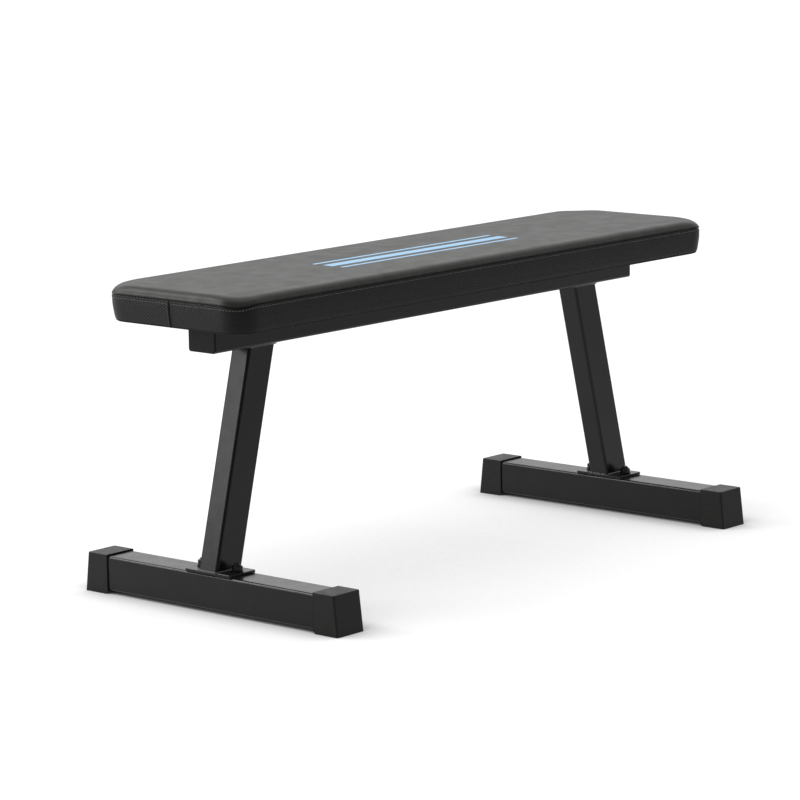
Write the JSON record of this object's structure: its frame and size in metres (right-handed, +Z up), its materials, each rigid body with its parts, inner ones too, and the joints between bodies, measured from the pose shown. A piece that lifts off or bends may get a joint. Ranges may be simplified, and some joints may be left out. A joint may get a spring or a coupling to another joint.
{
  "type": "flat weight bench",
  "caption": "Flat padded weight bench: one long vinyl pad on a straight steel beam, with splayed legs bolted to wide cross feet in flared end caps.",
  "frame": {"origin": "on the floor, under the middle of the bench", "axes": "+X along the bench, from the front leg to the rear leg; +Y across, to the left; +Z up"},
  "size_m": [1.056, 0.485, 0.46],
  "materials": {
    "frame_paint": "satin black powder coat",
    "cap_rubber": "finely textured black",
    "plug_plastic": "moulded black",
    "fastener_dark": "black zinc",
    "zinc_steel": "bright zinc",
    "plywood": "raw plywood",
    "foam": "open-cell foam",
    "vinyl_top": "smooth black vinyl",
    "vinyl_side": "black vinyl embossed with a fine diamond weave",
    "dust_cloth": "black non-woven cloth"
  },
  "bodies": {
    "root": {"beam_plug_front": "plug_plastic", "beam_plug_rear": "plug_plastic", "foot_bolts_front": "fastener_dark", "foot_bolts_rear": "fastener_dark", "foot_cap_front_left": "cap_rubber", "foot_cap_front_right": "cap_rubber", "foot_cap_rear_left": "cap_rubber", "foot_cap_rear_right": "cap_rubber", "foot_nuts_front": "fastener_dark", "foot_nuts_rear": "fastener_dark", "foot_tube_front": "frame_paint", "foot_tube_rear": "frame_paint", "foot_washers_front": "fastener_dark", "foot_washers_rear": "fastener_dark", "leg_base_plate_front": "frame_paint", "leg_base_plate_rear": "frame_paint", "leg_tube_front": "frame_paint", "leg_tube_rear": "frame_paint", "main_beam": "frame_paint", "pad_board": "plywood", "pad_bolts": "fastener_dark", "pad_bracket_front": "frame_paint", "pad_bracket_rear": "frame_paint", "pad_dust_cover": "dust_cloth", "pad_foam": "foam", "pad_side_band": "vinyl_side", "pad_staples": "zinc_steel", "pad_tee_nuts": "zinc_steel", "pad_top_panel": "vinyl_top", "pad_washers": "fastener_dark"}
  },
  "joints": []
}
